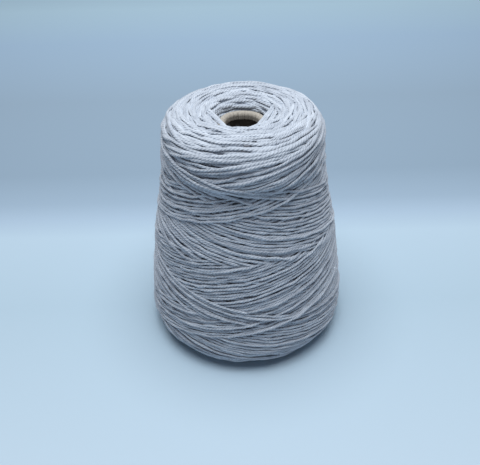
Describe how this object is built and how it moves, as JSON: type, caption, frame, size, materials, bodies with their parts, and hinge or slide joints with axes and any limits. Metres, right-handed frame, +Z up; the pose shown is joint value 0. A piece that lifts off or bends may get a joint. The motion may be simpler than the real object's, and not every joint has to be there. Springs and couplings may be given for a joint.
{
  "type": "yarn cone",
  "caption": "Cross-wound cone of thick soft yarn on a rolled-nose paper cone, the supply package that sits on a cone holder and pays off over its nose.",
  "frame": {"origin": "on the axis, in the plane of the paper cone's base, on which the package stands", "axes": "+Z up along the axis, from the base to the nose; -Y is the front, where the cut end of the yarn lies"},
  "size_m": [0.1541, 0.156, 0.1848],
  "materials": {
    "paper": "matt grey-beige paper board, fibrous, with fine crimps around the rolled nose",
    "yarn": "matt soft cotton-like yarn, pale cool grey, loosely twisted, with short fuzz"
  },
  "bodies": {
    "root": {"paper_cone": "paper", "yarn_body": "yarn", "outer_winding": "yarn"}
  },
  "joints": []
}
